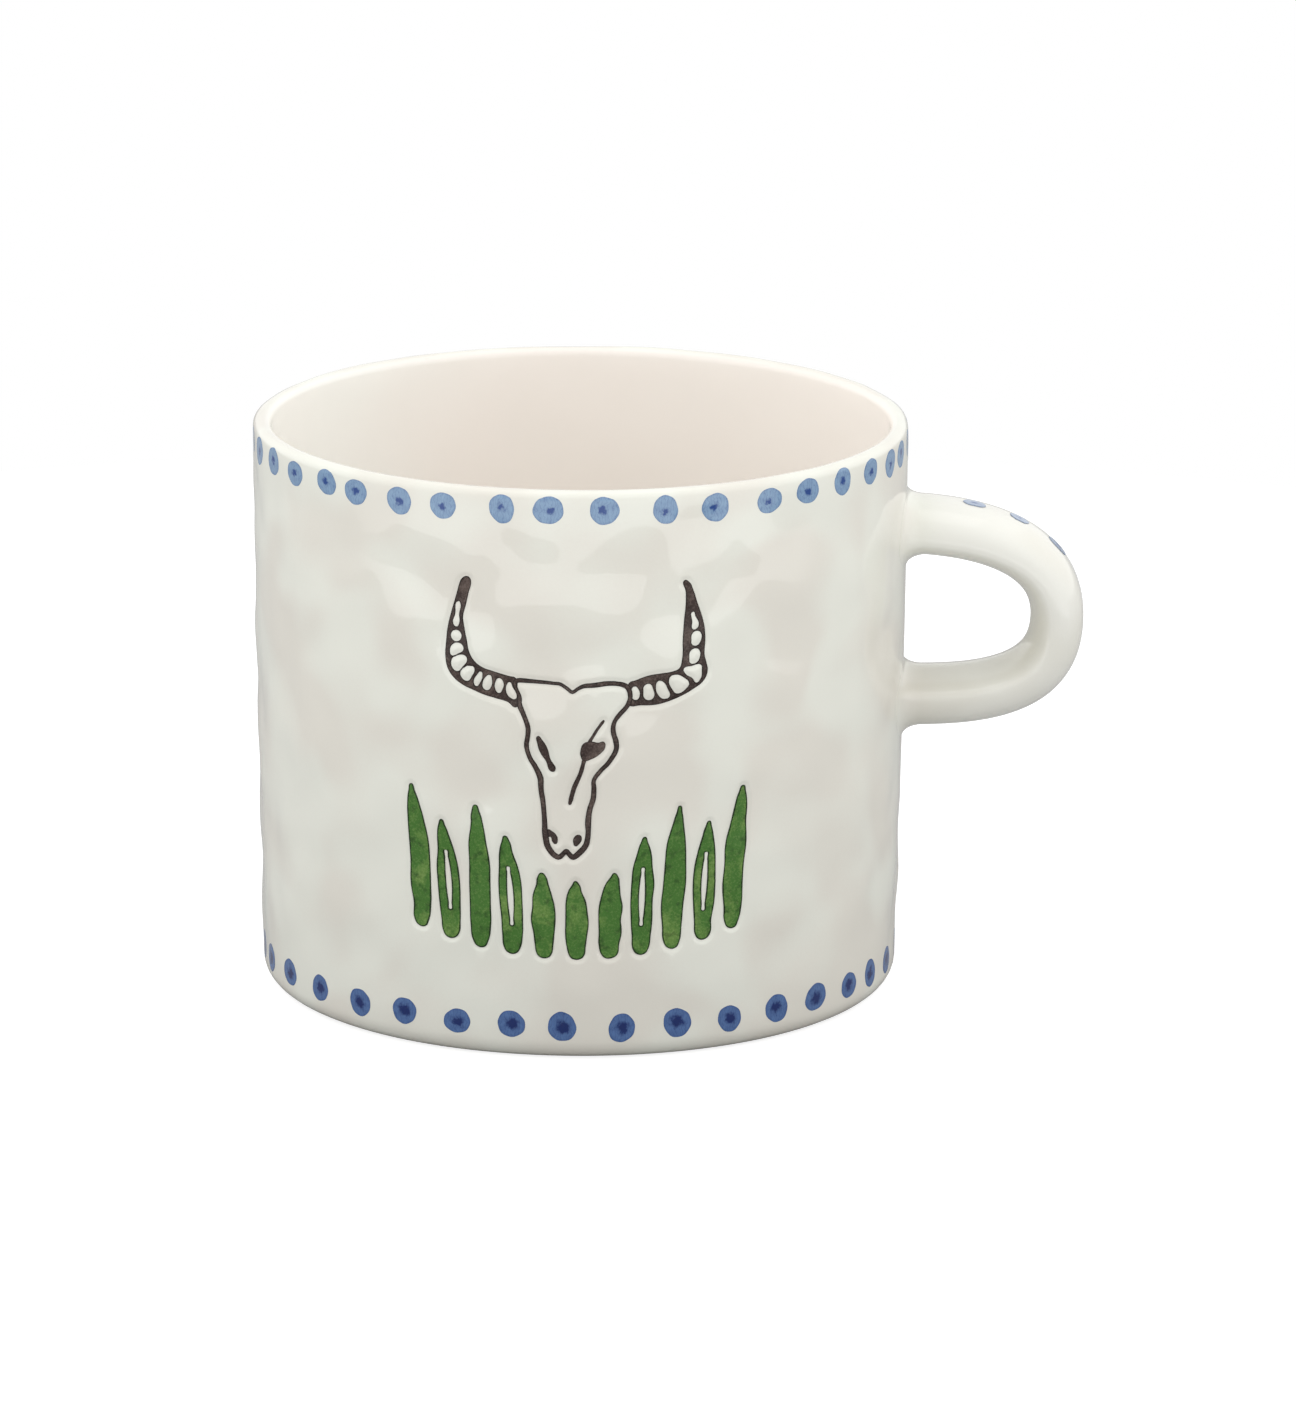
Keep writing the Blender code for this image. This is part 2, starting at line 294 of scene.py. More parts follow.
def dimpleWeight(place):
    # full on the outer wall, faint inside, at the lip and at the foot, and none where the handle sits
    if pastWall(place) < -cup["lip"] / 2:
        weight = dimples["inside"] * ease(place.z, *dimples["innerFootFade"])
        return weight * ease(cupHeight - place.z, *dimples["innerRimFade"])
    weight = ease(place.z, *dimples["footFade"])
    weight *= dimples["lip"] + (1 - dimples["lip"]) * ease(cupHeight - place.z, *dimples["rimFade"])
    if place.x > axisX:
        side = ease(abs(place.y), *dimples["besideHandle"])
        high = ease(abs(place.z - (handleLow.z + handleHigh.z) / 2), *dimples["pastHandle"])
        weight *= max(side, high)
    return weight


def dimpleWall(wall):
    # soft hollows and swellings, as a hand leaves them in the clay
    group = wall.vertex_groups.new(name="dimpled")
    for vertex in wall.data.vertices:
        weight = dimpleWeight(vertex.co)
        if weight > 0:
            group.add([vertex.index], weight, "REPLACE")
    for name, size, depth in dimples["layers"]:
        texture = bpy.data.textures.new(name, "CLOUDS")
        texture.noise_scale = dimples["size"] * size
        texture.noise_depth = 0
        texture.noise_basis = "ORIGINAL_PERLIN"
        push = wall.modifiers.new(name, "DISPLACE")
        push.texture = texture
        push.texture_coords = "LOCAL"
        push.strength = dimples["depth"] * depth
        push.mid_level = 0.5
        push.vertex_group = "dimpled"
    applyAll(wall)


def engrave(wall, guides):
    # the wall sinks towards each line of the drawing, with a soft shoulder
    stamp = joinAll([copyOf(guide) for guide in guides])
    group = wall.vertex_groups.new(name="grooved")
    low = min(vertex.co.z for vertex in stamp.data.vertices) - 2 * mm
    high = max(vertex.co.z for vertex in stamp.data.vertices) + 2 * mm
    near = [vertex.index for vertex in wall.data.vertices
            if vertex.co.y < 0 and low < vertex.co.z < high and isOuterWall(vertex.co)]
    group.add(near, 1.0, "REPLACE")
    closeness = wall.modifiers.new("closeness", "VERTEX_WEIGHT_PROXIMITY")
    closeness.vertex_group = "grooved"
    closeness.target = stamp
    closeness.proximity_mode = "GEOMETRY"
    closeness.proximity_geometry = {"FACE"}
    closeness.min_dist = groove["shoulder"]
    closeness.max_dist = groove["flat"]
    closeness.falloff_type = "SMOOTH"
    sink = wall.modifiers.new("sink", "DISPLACE")
    sink.vertex_group = "grooved"
    sink.strength = -groove["depth"]
    sink.mid_level = 0
    applyAll(wall)
    bpy.data.objects.remove(stamp)


# the drawing, in millimetres round the wall and up from the table
lineDrawing = {
    "width": 1.0,  # all widths of the lines are multiplied by this
    "wobble": 0.03,
}

skullOutline = [
    (-8.5, 56.0, 0.65), (-6.8, 56.0, 0.6), (-5.0, 55.9, 0.5), (-3.5, 55.8, 0.5), (-2.4, 55.7, 0.5),
    (-1.4, 55.1, 0.5), (-0.7, 54.6, 0.5), (0.1, 55.1, 0.5), (1.0, 55.5, 0.6), (2.4, 55.6, 0.7),
    (4.2, 55.8, 0.7), (5.7, 55.7, 0.65), (6.9, 55.3, 0.7), (7.4, 54.5, 0.7), (7.5, 53.5, 0.65),
    (7.1, 52.4, 0.65), (6.2, 51.4, 0.65), (5.3, 50.2, 0.6), (5.1, 48.8, 0.7), (5.5, 47.3, 0.75),
    (5.5, 46.0, 0.7), (4.5, 44.3, 0.65), (3.2, 42.9, 0.6), (2.4, 41.7, 0.6), (2.4, 40.4, 0.7),
    (2.3, 38.9, 0.75), (1.8, 37.2, 0.75), (1.6, 35.5, 0.85), (1.6, 33.8, 0.75), (1.3, 32.1, 0.8),
    (0.4, 31.0, 0.85), (-0.5, 30.3, 0.75), (-1.1, 30.8, 0.7), (-1.5, 31.2, 0.7), (-1.9, 30.8, 0.7),
    (-2.6, 30.3, 0.75), (-3.5, 30.9, 0.8), (-4.2, 32.1, 0.85), (-4.5, 33.8, 0.85), (-4.6, 35.8, 0.7),
    (-4.8, 38.2, 0.7), (-5.1, 40.2, 0.75), (-5.2, 41.8, 0.85), (-5.8, 43.3, 0.75), (-6.7, 44.8, 0.65),
    (-7.2, 46.5, 0.65), (-7.0, 48.1, 0.7), (-7.0, 49.4, 0.7), (-7.6, 51.1, 0.7), (-8.2, 52.5, 0.75),
    (-8.2, 53.6, 0.6), (-8.6, 54.6, 0.55), (-8.9, 55.4, 0.55),
]
leftHorn = {
    "outline": [
        (-15.9, 70.7), (-16.6, 70.4), (-17.0, 69.7), (-17.4, 68.3), (-17.9, 66.6), (-18.4, 64.9),
        (-18.8, 63.3), (-19.1, 60.9), (-19.2, 58.7), (-18.8, 57.0), (-17.9, 55.8), (-16.6, 54.9),
        (-14.9, 54.2), (-13.3, 53.6), (-11.6, 53.2), (-9.9, 52.8), (-8.7, 52.1), (-8.2, 53.2),
        (-8.5, 54.6), (-8.7, 56.3), (-9.8, 56.6), (-12.1, 57.2), (-13.7, 57.7), (-14.9, 58.6),
        (-15.6, 59.8), (-15.9, 61.2), (-16.3, 63.1), (-16.5, 64.8), (-16.1, 66.4), (-15.7, 68.2),
        (-15.3, 69.9), (-15.5, 70.5),
    ],
    "cells": [
        [(-17.2, 66.9), (-16.9, 66.6), (-17.1, 65.1), (-17.1, 63.7),
         (-17.5, 63.2), (-18.0, 63.6), (-17.7, 65.0)],
        [(-17.6, 62.7), (-16.9, 62.4), (-16.8, 61.6), (-17.4, 61.1), (-18.1, 61.3), (-18.3, 62.2)],
        [(-17.3, 60.9), (-16.6, 60.6), (-16.5, 59.9), (-17.2, 59.4),
         (-18.2, 59.0), (-18.5, 59.6), (-18.1, 60.6)],
        [(-18.2, 58.5), (-17.3, 59.1), (-16.3, 59.2), (-15.9, 58.6),
         (-16.5, 57.6), (-17.4, 56.8), (-18.1, 57.2)],
        [(-16.9, 56.7), (-16.2, 57.5), (-15.3, 57.8), (-14.8, 57.4),
         (-15.2, 56.2), (-15.8, 55.5), (-16.7, 55.9)],
        [(-14.9, 55.4), (-14.4, 56.5), (-13.8, 57.0), (-13.6, 56.5), (-14.0, 55.3), (-14.5, 54.8)],
        [(-13.6, 55.2), (-13.1, 56.3), (-12.5, 56.6), (-12.2, 56.0),
         (-12.4, 54.7), (-12.9, 54.3), (-13.5, 54.6)],
        [(-11.7, 54.5), (-11.7, 55.6), (-11.2, 56.2), (-10.6, 55.8), (-10.7, 54.5), (-11.2, 54.0)],
        [(-10.1, 54.2), (-10.0, 55.4), (-9.6, 55.7), (-9.2, 55.0),
         (-8.6, 53.8), (-8.8, 53.3), (-9.6, 53.5)],
    ],
}
rightHorn = {
    "outline": [
        (15.3, 70.3), (15.5, 68.6), (15.5, 66.6), (15.3, 64.6), (15.1, 61.6), (15.0, 58.7),
        (14.6, 57.6), (13.6, 57.2), (11.9, 57.0), (10.0, 56.7), (8.3, 56.1), (7.3, 55.7),
        (7.3, 54.6), (7.2, 53.4), (7.3, 52.5), (9.0, 52.4), (11.2, 52.4), (13.0, 52.8),
        (14.9, 53.5), (16.7, 54.4), (18.3, 55.5), (18.9, 56.9), (18.7, 58.1), (18.4, 59.3),
        (18.5, 61.3), (18.4, 63.1), (18.0, 64.8), (17.3, 66.8), (16.6, 68.9), (16.1, 69.9),
    ],
    "cells": [
        [(16.6, 65.6), (17.0, 64.9), (17.5, 63.7), (17.1, 63.1), (16.6, 63.1), (16.5, 64.2)],
        [(16.5, 62.4), (17.1, 62.8), (17.8, 62.5), (17.8, 61.3),
         (17.2, 60.7), (16.5, 60.9), (16.4, 61.6)],
        [(16.3, 60.0), (17.0, 60.3), (17.6, 60.0), (17.7, 59.0),
         (17.1, 58.2), (16.3, 58.2), (16.1, 59.0)],
        [(15.3, 57.5), (16.5, 57.8), (17.8, 57.9), (18.0, 56.9),
         (17.8, 55.8), (17.2, 55.3), (16.6, 56.0), (15.5, 56.8)],
        [(13.2, 56.3), (14.1, 56.7), (15.3, 56.2), (16.1, 55.3),
         (15.7, 54.6), (14.3, 53.9), (13.7, 54.4)],
        [(11.2, 55.2), (11.6, 55.9), (12.3, 55.7), (12.9, 54.7),
         (13.2, 53.5), (12.5, 53.2), (11.8, 53.5)],
        [(9.5, 55.2), (10.3, 55.5), (10.8, 54.7), (10.9, 53.5),
         (10.2, 53.1), (9.5, 53.5), (9.4, 54.4)],
        [(7.7, 54.8), (8.1, 55.2), (8.6, 54.9), (8.8, 53.6), (8.3, 53.2), (7.7, 53.7)],
    ],
}
leftEye = [(-5.6, 48.1), (-4.9, 47.5), (-4.2, 46.3), (-3.8, 44.8), (-3.1, 43.0), (-3.7, 42.9), (-4.4, 44.4),
           (-5.2, 45.6), (-5.6, 46.8)]
rightEye = [(0.5, 46.2), (0.9, 47.1), (1.9, 47.4), (3.0, 47.2), (3.8, 47.3), (4.0, 46.6), (3.4, 45.7),
            (2.0, 44.8), (0.9, 44.6), (0.5, 45.3)]
browLine = [(1.5, 46.9, 0.6), (2.1, 47.9, 0.45), (2.9, 49.2, 0.4), (3.7, 50.3, 0.45)]
noseLine = [(1.1, 45.1, 0.55), (0.5, 42.7, 0.6), (-0.4, 40.5, 0.65), (-1.0, 38.2, 0.6)]
leftNostril = [(-4.2, 34.3), (-3.4, 34.0), (-2.9, 33.5), (-2.7, 32.8), (-3.0, 32.2), (-3.5, 32.6),
               (-3.7, 33.2), (-4.2, 33.3)]
rightNostril = [(-0.5, 32.4), (-0.4, 33.2), (0.3, 33.6), (0.7, 33.2), (0.3, 32.2), (-0.2, 31.9)]

leaves = {
    "count": 11,
    "pitch": 4.6,
    "width": 3.4,
    "footHeight": 15.2,
    "footRise": 3.2,
    "tall": 21.0,
    "short": 17.5,
    "underMuzzle": 11.6,
    "fan": 0.35,
    "sway": 0.5,
    "slit": 0.42,
    "wobble": 0.14,
    "inset": 0.26 * mm,
}


def flatPoint(across, height):
    # where a point round the wall is seen from straight ahead
    radius = wallRadius(height * mm)
    return (axisX + radius * math.sin(across * mm / radius), height * mm, 0)


def drawShape(name, loops, smooth=True):
    # a flat filled shape, whose inner loops are holes
    curve = bpy.data.curves.new(name, "CURVE")
    curve.dimensions = "2D"
    curve.fill_mode = "BOTH"
    curve.resolution_u = 5
    for loop in loops:
        spline = curve.splines.new("BEZIER" if smooth else "POLY")
        places = [flatPoint(across, height) for across, height in loop]
        if smooth:
            spline.bezier_points.add(len(places) - 1)
            for point, place in zip(spline.bezier_points, places):
                point.co = place
                point.handle_left_type = "AUTO"
                point.handle_right_type = "AUTO"
        else:
            spline.points.add(len(places) - 1)
            for point, place in zip(spline.points, places):
                point.co = (*place, 1)
        spline.use_cyclic_u = True
    shape = addObject(name, curve)
    shape.rotation_euler.x = math.pi / 2
    shape = toMesh(shape)
    bpy.ops.object.transform_apply(rotation=True)
    return shape


def smoothPath(points, closed, steps):
    # a smooth run through given points, each with its width
    count = len(points)
    path = []
    for span in range(count if closed else count - 1):
        nearby = []
        for shift in (-1, 0, 1, 2):
            index = (span + shift) % count if closed else min(max(span + shift, 0), count - 1)
            nearby.append(Vector(points[index]))
        before, start, end, after = nearby
        for step in range(steps):
            share = step / steps
            path.append(start + (end - before) * (share / 2)
                        + (before * 2 - start * 5 + end * 4 - after) * (share ** 2 / 2)
                        + (start * 3 - before - end * 3 + after) * (share ** 3 / 2))
    if not closed:
        path.append(Vector(points[-1]))
    return path


def strokeSides(points, closed, steps=4):
    # both edges of a drawn line, a little uneven, as a hand cuts it
    path = smoothPath(points, closed, steps)
    count = len(path)
    leftSide, rightSide = [], []
    for index, (across, height, width) in enumerate(path):
        before = path[(index - 1) % count if closed else max(index - 1, 0)]
        after = path[(index + 1) % count if closed else min(index + 1, count - 1)]
        along = (after - before).to_2d().normalized()
        sideways = Vector((-along.y, along.x)) * width / 2 * lineDrawing["width"]
        for side, turn in ((leftSide, 1), (rightSide, -1)):
            shake = noise.noise(Vector((across * 1.3, height * 1.3, 7.0 * turn))) * lineDrawing["wobble"]
            place = Vector((across, height)) + sideways * turn * (1 + shake / max(width, 0.1) * 2)
            side.append(tuple(place))
    return leftSide, rightSide


def drawStroke(name, points, closed=False):
    leftSide, rightSide = strokeSides(points, closed)
    if closed:
        return drawShape(name, [leftSide, rightSide], smooth=False)
    start, end = Vector(points[0]), Vector(points[-1])
    back = (start - Vector(points[1])).to_2d().normalized() * start.z * 0.45
    ahead = (end - Vector(points[-2])).to_2d().normalized() * end.z * 0.45
    startTip = tuple(start.to_2d() + back)
    endTip = tuple(end.to_2d() + ahead)
    return drawShape(name, [[startTip, *leftSide[1:-1], endTip, *reversed(rightSide[1:-1])]])


def drawLeaf(index):
    rng = random.Random(40 + index)
    middle = (leaves["count"] - 1) / 2
    place = index - middle
    foot = leaves["footHeight"] + leaves["footRise"] * (place / middle) ** 2
    length = leaves["tall"] if index % 2 == 0 else leaves["short"]
    if abs(place) <= 1:
        length = leaves["underMuzzle"] + abs(place)
    lean = place * leaves["fan"] + rng.uniform(-1, 1) * leaves["sway"]

    def spine(share):
        return place * leaves["pitch"] + lean * share ** 2

    sides = {1: [], -1: []}
    for share, fullness in ((0, 0.3), (0.04, 0.66), (0.16, 0.86), (0.3, 0.97), (0.45, 1.0), (0.6, 0.95),
                            (0.74, 0.8), (0.86, 0.58), (0.95, 0.34)):
        for turn in sides:
            shake = rng.uniform(-1, 1) * leaves["wobble"]
            reach = leaves["width"] / 2 * fullness + shake * (share > 0)
            sides[turn].append((spine(share) + turn * reach, foot + length * share))
    tip = (spine(1), foot + length)
    loops = [sides[-1] + [tip] + sides[1][::-1]]
    if abs(place) > 1 and index % 2:
        # a slit left bare, as a vein
        slit = {1: [], -1: []}
        for step in range(9):
            share = 0.24 + 0.5 * step / 8
            for turn in slit:
                reach = leaves["slit"] * math.sin(math.pi * step / 8) ** 0.7
                slit[turn].append((spine(share) + turn * reach, foot + length * share))
        loops.append(slit[-1] + slit[1][-2:0:-1])
    return drawShape(f"leaf{index + 1:02d}", loops)


def evenOut(shape, test):
    # turns the long thin triangles of a filled outline into rounder ones
    startEditing(shape, "FACE")
    selectFrom(shape.data.polygons, test)
    bpy.ops.mesh.quads_convert_to_tris(quad_method="BEAUTY", ngon_method="BEAUTY")
    bpy.ops.mesh.beautify_fill(angle_limit=math.pi)
    stopEditing()


def dice(shape):
    # cut into small squares, so that the shape can bend with the wall
    startEditing(shape)
    for axis, normal in ((0, (1, 0, 0)), (2, (0, 0, 1))):
        places = [vertex.co[axis] for vertex in shape.data.vertices]
        for step in range(math.ceil(min(places) / groove["dice"]), math.ceil(max(places) / groove["dice"])):
            selectAll()
            centre = [step * groove["dice"] * share for share in normal]
            bpy.ops.mesh.bisect(plane_co=centre, plane_no=normal, threshold=0.0001 * mm)
    stopEditing()


def layOnWall(shape, wall, rim):
    # a narrow rim is marked out for the darker edge, then the shape is pressed onto the wall
    startEditing(shape, "FACE")
    selectAll()
    bpy.ops.mesh.remove_doubles(threshold=0.005 * mm)
    selectAll()
    bpy.ops.mesh.inset(thickness=rim, use_boundary=True, use_even_offset=False)
    stopEditing()
    inner = {index for face in shape.data.polygons if face.select for index in face.vertices}
    evenOut(shape, lambda face: all(index in inner for index in face.vertices))
    middle = shape.data.attributes.new("middle", "FLOAT", "POINT")
    for vertex in shape.data.vertices:
        middle.data[vertex.index].value = float(vertex.index in inner)
        vertex.co.y = -2 * rimRadius
    dice(shape)
    inner = {index for index, item in enumerate(shape.data.attributes["middle"].data) if item.value > 0.99}
    evenOut(shape, lambda face: all(index in inner for index in face.vertices))
    startEditing(shape, "FACE")
    selectFrom(shape.data.polygons, lambda face: face.normal.y > 0)
    bpy.ops.mesh.flip_normals()
    stopEditing()
    press = shape.modifiers.new("press", "SHRINKWRAP")
    press.target = wall
    press.wrap_method = "PROJECT"
    press.use_project_y = True
    press.use_positive_direction = True
    press.use_negative_direction = False
    applyAll(shape)


def moveIn(vertices, depth):
    # straight in towards the cup's axis
    for vertex in vertices:
        place = vertex.co
        scale = 1 - depth / math.hypot(place.x - axisX, place.y)
        vertex.co = (axisX + (place.x - axisX) * scale, place.y * scale, place.z)


def takeNormals(obj, source):
    # shaded as the surface that it lies on
    normals = obj.modifiers.new("normals", "DATA_TRANSFER")
    normals.object = source
    normals.use_loop_data = True
    normals.data_types_loops = {"CUSTOM_NORMAL"}
    normals.loop_mapping = "POLYINTERP_NEAREST"
    applyAll(obj)


def fillGroove(shape, wall, lift):
    # the coloured glaze lies a little below the wall
    moveIn(shape.data.vertices, groove["inkDepth"] - lift)
    startEditing(shape, "FACE")
    selectAll()
    bpy.ops.mesh.extrude_region_move(TRANSFORM_OT_translate={"value": (0, 0, 0)})
    stopEditing()
    moveIn([vertex for vertex in shape.data.vertices if vertex.select], groove["inkThickness"])
    backs = [face for face in shape.data.polygons if face.select]
    if sum(face.normal.y * face.area for face in backs) < 0:
        startEditing(shape, "FACE")
        selectAll()
        bpy.ops.mesh.flip_normals()
        stopEditing()
    pick(shape)
    bpy.ops.object.shade_smooth()
    takeNormals(shape, wall)


def newTree(name):
    material = bpy.data.materials.new(name)
    material.use_nodes = True
    return material, material.node_tree, material.node_tree.nodes["Principled BSDF"]


def addNode(tree, kind, values=None, **settings):
    node = tree.nodes.new(kind)
    for key, value in settings.items():
        setattr(node, key, value)
    for key, value in (values or {}).items():
        socket = node.inputs[key]
        if isinstance(value, bpy.types.NodeSocket):
            tree.links.new(value, socket)
        else:
            socket.default_value = value
    return node


def noiseOf(tree, vector, scale, detail=2.0, roughness=0.5, distortion=0.0):
    values = {"Vector": vector, "Scale": scale, "Detail": detail, "Roughness": roughness,
              "Distortion": distortion}
    return addNode(tree, "ShaderNodeTexNoise", values).outputs["Fac"]


def rangeOf(tree, value, fromLow, fromHigh, toLow=0.0, toHigh=1.0, smooth=False):
    values = {"Value": value, "From Min": fromLow, "From Max": fromHigh, "To Min": toLow, "To Max": toHigh}
    kind = "SMOOTHSTEP" if smooth else "LINEAR"
    return addNode(tree, "ShaderNodeMapRange", values, interpolation_type=kind).outputs["Result"]


def mathOf(tree, operation, first, second=0.0, clamp=False):
    values = {0: first, 1: second}
    return addNode(tree, "ShaderNodeMath", values, operation=operation, use_clamp=clamp).outputs[0]


def vectorOf(tree, operation, first, second=(0, 0, 0), scale=1.0):
    node = addNode(tree, "ShaderNodeVectorMath", {0: first, 1: second, 3: scale}, operation=operation)
    return node.outputs["Value" if operation == "LENGTH" else "Vector"]


def placeOf(tree):
    return addNode(tree, "ShaderNodeTexCoord").outputs["Object"]


def fromAxis(tree):
    # places measured from the cup's axis
    values = {"Vector": placeOf(tree), "Location": (-axisX, 0, 0)}
    return addNode(tree, "ShaderNodeMapping", values).outputs[0]


def mixColour(tree, factor, first, second, blend="MIX"):
    node = addNode(tree, "ShaderNodeMix", data_type="RGBA", blend_type=blend)
    for key, value in ((0, factor), (6, first), (7, second)):
        if isinstance(value, bpy.types.NodeSocket):
            tree.links.new(value, node.inputs[key])
        elif key == 0:
            node.inputs[key].default_value = value
        else:
            node.inputs[key].default_value = (*value[:3], 1)
    return node.outputs[2]


def newGroup(name, inputs, outputs):
    group = bpy.data.node_groups.new(name, "ShaderNodeTree")
    for key, kind, default in inputs:
        socket = group.interface.new_socket(name=key, in_out="INPUT", socket_type=kind)
        if default is not None:
            socket.default_value = default
    for key, kind in outputs:
        group.interface.new_socket(name=key, in_out="OUTPUT", socket_type=kind)
    return group, group.nodes.new("NodeGroupInput").outputs, group.nodes.new("NodeGroupOutput").inputs


whiteGlaze = {
    "thin": (0.792, 0.796, 0.722, 1),
    "thick": (0.748, 0.722, 0.652, 1),
    # the two inside colours are lighter than the outside's white glaze: painted light, standing in for the
    # overhead light that falls into the cup; the second is also warmer
    "insidePaintedLight": (0.912, 0.907, 0.857),
    "insidePaintedLightWarm": (0.922, 0.871, 0.816),
    "handleThin": (0.805, 0.800, 0.742, 1),
    "handleThick": (0.755, 0.742, 0.675, 1),
    "cloudSize": 72.0,
    "ripple": 0.0015 * mm,
}


def makeGlazeGroup():
    # clouds where the glaze lies thicker, a fine grain, and the faint ripple of its surface
    group, given, made = newGroup(
        "firedGlaze",
        [("Thin", "NodeSocketColor", whiteGlaze["thin"]), ("Thick", "NodeSocketColor", whiteGlaze["thick"]),
         ("Cloud Size", "NodeSocketFloat", whiteGlaze["cloudSize"]), ("Vector", "NodeSocketVector", None)],
        [("Color", "NodeSocketColor"), ("Roughness", "NodeSocketFloat"), ("Height", "NodeSocketFloat")],
    )
    clouds = noiseOf(group, given["Vector"], given["Cloud Size"], 1.0, 0.4, 0.3)
    clouds = rangeOf(group, clouds, 0.36, 0.64, smooth=True)
    grain = noiseOf(group, given["Vector"], 2600.0, 2.0, 0.6)
    grain = rangeOf(group, grain, 0.3, 0.7, -0.09, 0.09)
    depth = mathOf(group, "ADD", clouds, grain)
    group.links.new(mixColour(group, depth, given["Thin"], given["Thick"]), made["Color"])
    sheen = noiseOf(group, given["Vector"], 160.0, 3.0)
    group.links.new(rangeOf(group, sheen, 0.3, 0.7, 0.015, 0.035), made["Roughness"])
    ripple = noiseOf(group, given["Vector"], 420.0, 1.0)
    skin = noiseOf(group, given["Vector"], 1700.0, 1.0)
    height = mathOf(group, "ADD", ripple, mathOf(group, "MULTIPLY", skin, 0.08))
    group.links.new(height, made["Height"])
    return group


def addGroup(tree, group, values):
    return addNode(tree, "ShaderNodeGroup", values, node_tree=group)


def dress(tree, shader, colour, roughness, height, distance):
    tree.links.new(colour, shader.inputs["Base Color"])
    tree.links.new(roughness, shader.inputs["Roughness"])
    bump = addNode(tree, "ShaderNodeBump", {"Strength": 1.0, "Distance": distance, "Height": height})
    tree.links.new(bump.outputs["Normal"], shader.inputs["Normal"])


def makeCupGlaze(glazeGroup):
    material, tree, shader = newTree("cupGlaze")
    centred = fromAxis(tree)
    outside = addGroup(tree, glazeGroup, {
        "Vector": centred, "Thin": whiteGlaze["thin"], "Thick": whiteGlaze["thick"],
        "Cloud Size": whiteGlaze["cloudSize"]}).outputs
    split = addNode(tree, "ShaderNodeSeparateXYZ", {0: centred}).outputs
    drift = mathOf(tree, "MULTIPLY", noiseOf(tree, centred, 30.0, 1.0), 40 * mm)
    blush = rangeOf(tree, mathOf(tree, "ADD", split["X"], drift), -22 * mm, 12 * mm, smooth=True)
    # inside the cup the glaze is lifted to these lighter colours as painted light, and turns warmer towards
    # +X
    inside = mixColour(tree, blush, whiteGlaze["insidePaintedLight"], whiteGlaze["insidePaintedLightWarm"])
    reach = vectorOf(tree, "LENGTH", vectorOf(tree, "MULTIPLY", centred, (1, 1, 0)))
    isInside = rangeOf(tree, reach, rimRadius - 1.4 * mm, rimRadius - 2.6 * mm, smooth=True)
    isAbove = rangeOf(tree, split["Z"], cup["recess"] + 1 * mm, cup["floor"] - 1 * mm)
    colour = mixColour(tree, mathOf(tree, "MULTIPLY", isInside, isAbove), outside["Color"], inside)
    dress(tree, shader, colour, outside["Roughness"], outside["Height"], whiteGlaze["ripple"])
    return material


def makeHandleGlaze(glazeGroup):
    # towards its roots the handle takes on the colours and clouds of the wall
    material, tree, shader = newTree("handleGlaze")
    centred = fromAxis(tree)
    reach = addNode(tree, "ShaderNodeSeparateXYZ", {0: centred}).outputs["X"]
    away = rangeOf(tree, reach, rimRadius, rimRadius + 6 * mm, smooth=True)
    glaze = addGroup(tree, glazeGroup, {
        "Vector": centred,
        "Thin": mixColour(tree, away, whiteGlaze["thin"], whiteGlaze["handleThin"]),
        "Thick": mixColour(tree, away, whiteGlaze["thick"], whiteGlaze["handleThick"]),
        "Cloud Size": whiteGlaze["cloudSize"]}).outputs
    dress(tree, shader, glaze["Color"], glaze["Roughness"], glaze["Height"], whiteGlaze["ripple"])
    return material


def makeInkGroup():
    # glaze that fills a line: darkest at its edges, uneven along its middle, and grainy
    group, given, made = newGroup(
        "lineGlaze",
        [("Edge", "NodeSocketColor", None), ("Body", "NodeSocketColor", None),
         ("Pale", "NodeSocketColor", None), ("Paleness", "NodeSocketFloat", 0.5),
         ("Patch Size", "NodeSocketFloat", 200.0),
         ("Middle", "NodeSocketFloat", 1.0), ("Vector", "NodeSocketVector", None)],
        [("Color", "NodeSocketColor"), ("Roughness", "NodeSocketFloat"), ("Height", "NodeSocketFloat")],
    )
    patches = noiseOf(group, given["Vector"], given["Patch Size"], 3.0, 0.6, 0.6)
    patches = rangeOf(group, patches, 0.45, 0.68, smooth=True)
    grain = noiseOf(group, given["Vector"], 3000.0, 2.0, 0.7)
    grain = rangeOf(group, grain, 0.3, 0.7, -0.3, 0.3)
    share = mathOf(group, "MULTIPLY", patches, given["Paleness"])
    share = mathOf(group, "ADD", share, grain, clamp=True)
    body = mixColour(group, share, given["Body"], given["Pale"])
    wander = noiseOf(group, given["Vector"], 900.0, 2.0)
    edge = mathOf(group, "ADD", given["Middle"], rangeOf(group, wander, 0.3, 0.7, -0.25, 0.25))
    edge = rangeOf(group, edge, 0.45, 1.0, smooth=True)
    group.links.new(mixColour(group, edge, given["Edge"], body), made["Color"])
    group.links.new(rangeOf(group, grain, -0.3, 0.3, 0.16, 0.34), made["Roughness"])
    group.links.new(mathOf(group, "ADD", grain, patches), made["Height"])
    return group


def makeInk(name, inkGroup, edge, body, pale, paleness, patchSize):
    material, tree, shader = newTree(name)
    middle = addNode(tree, "ShaderNodeAttribute", attribute_name="middle").outputs["Fac"]
    ink = addGroup(tree, inkGroup, {
        "Vector": placeOf(tree), "Middle": middle, "Edge": edge, "Body": body, "Pale": pale,
        "Paleness": paleness, "Patch Size": patchSize}).outputs
    shader.inputs["Specular IOR Level"].default_value = 0.25
    dress(tree, shader, ink["Color"], ink["Roughness"], ink["Height"], 0.02 * mm)
    return material


